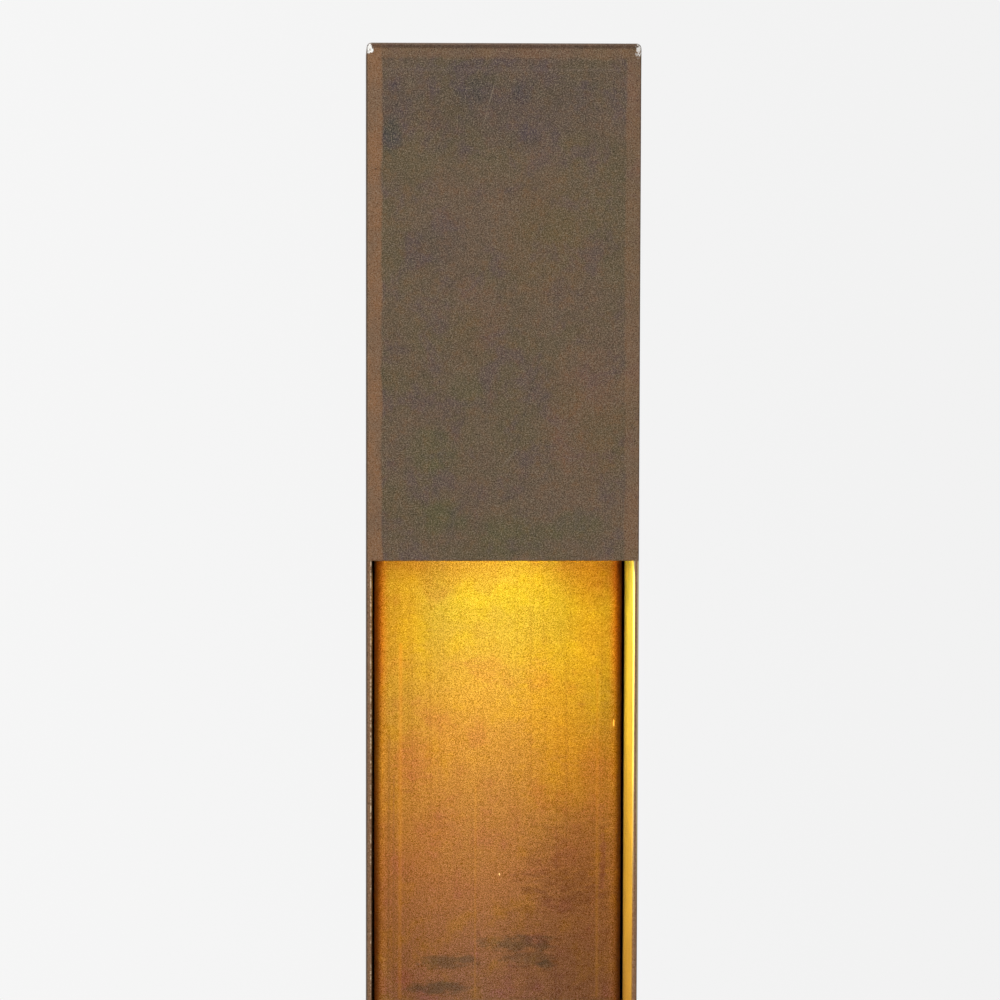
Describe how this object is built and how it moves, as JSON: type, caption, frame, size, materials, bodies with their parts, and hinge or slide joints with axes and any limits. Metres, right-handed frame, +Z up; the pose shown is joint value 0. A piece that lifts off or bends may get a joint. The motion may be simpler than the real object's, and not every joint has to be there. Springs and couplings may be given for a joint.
{
  "type": "bollard light",
  "caption": "Square sheet-brass bollard light: a closed head with a downward LED shines on a recessed panel in the open front of the column below.",
  "frame": {"origin": "centre of the square footprint, on the ground, at the underside of the foot gasket", "axes": "+Z up the column, -Y out of the open front towards the path, +X to the right of a person who faces the front"},
  "size_m": [0.1, 0.1, 0.8],
  "materials": {
    "patina_brass": "dark brown-bronze patina, mottled, very finely speckled, with reddish bands beside the welds",
    "panel_brass": "patinated brass, brushed upright, warmer and lighter than the outer sheet",
    "stainless_steel": "plain stainless screws",
    "zinc_plate": "bright zinc plate",
    "bare_aluminium": "matt extruded and cast aluminium",
    "blackened_steel": "matt black coated steel",
    "black_rubber": "black EPDM rubber",
    "black_polyamide": "black polyamide",
    "grey_housing": "dark grey moulded plastic",
    "lead_sheath": "black cable sheath",
    "earth_sheath": "green earth lead",
    "white_board": "white board and terminals",
    "phosphor": "yellow phosphor, warm white when lit",
    "bright_reflector": "bright anodised reflector",
    "clear_glass": "clear toughened glass"
  },
  "bodies": {
    "column": {"column_channel": "patina_brass", "head_front_plate": "patina_brass", "top_cap": "patina_brass", "base_sill": "patina_brass", "recess_panel": "panel_brass", "lens_bezel": "panel_brass", "cover_bracket_low": "zinc_plate", "cover_bracket_high": "zinc_plate", "panel_bracket": "zinc_plate", "sill_post_left": "zinc_plate", "sill_post_right": "zinc_plate", "foot_gasket": "black_rubber", "base_plate": "zinc_plate", "base_lug_left": "zinc_plate", "base_lug_right": "zinc_plate", "gear_tray": "zinc_plate", "junction_box": "grey_housing", "junction_box_lid": "grey_housing", "terminal_block": "white_board", "supply_gland": "black_polyamide", "gland_nut": "black_polyamide", "led_driver": "bare_aluminium", "mains_lead": "lead_sheath", "earth_screw": "stainless_steel", "earth_lead": "earth_sheath", "lamp_carrier": "blackened_steel", "head_bracket_left": "zinc_plate", "head_bracket_right": "zinc_plate", "lens_seal": "black_rubber", "lens_glass": "clear_glass", "optic_housing": "bare_aluminium", "reflector": "bright_reflector", "led_emitter": "phosphor", "led_board": "white_board", "heat_sink": "bare_aluminium", "lamp_lead": "lead_sheath", "lead_clip": "stainless_steel", "lead_grommet": "black_rubber", "lamp_connector": "grey_housing", "board_lead": "lead_sheath", "shell_screw_1": "stainless_steel", "shell_screw_2": "stainless_steel", "panel_screw_1": "stainless_steel", "panel_screw_2": "stainless_steel", "sill_screw_1": "stainless_steel", "sill_screw_2": "stainless_steel", "carrier_screw_1": "stainless_steel", "carrier_screw_2": "stainless_steel", "carrier_screw_3": "stainless_steel", "carrier_screw_4": "stainless_steel", "bezel_screw_1": "stainless_steel", "bezel_screw_2": "stainless_steel", "driver_screw_1": "stainless_steel", "driver_screw_2": "stainless_steel"},
    "access_cover": {"access_cover": "panel_brass", "cover_screw_1": "stainless_steel", "cover_screw_2": "stainless_steel", "cover_screw_3": "stainless_steel", "cover_screw_4": "stainless_steel"}
  },
  "joints": [
    {"name": "access_cover_slide", "type": "slide", "parent": "column", "child": "access_cover", "axis": [0, -1, 0], "range_m": [0, 0.07]}
  ]
}
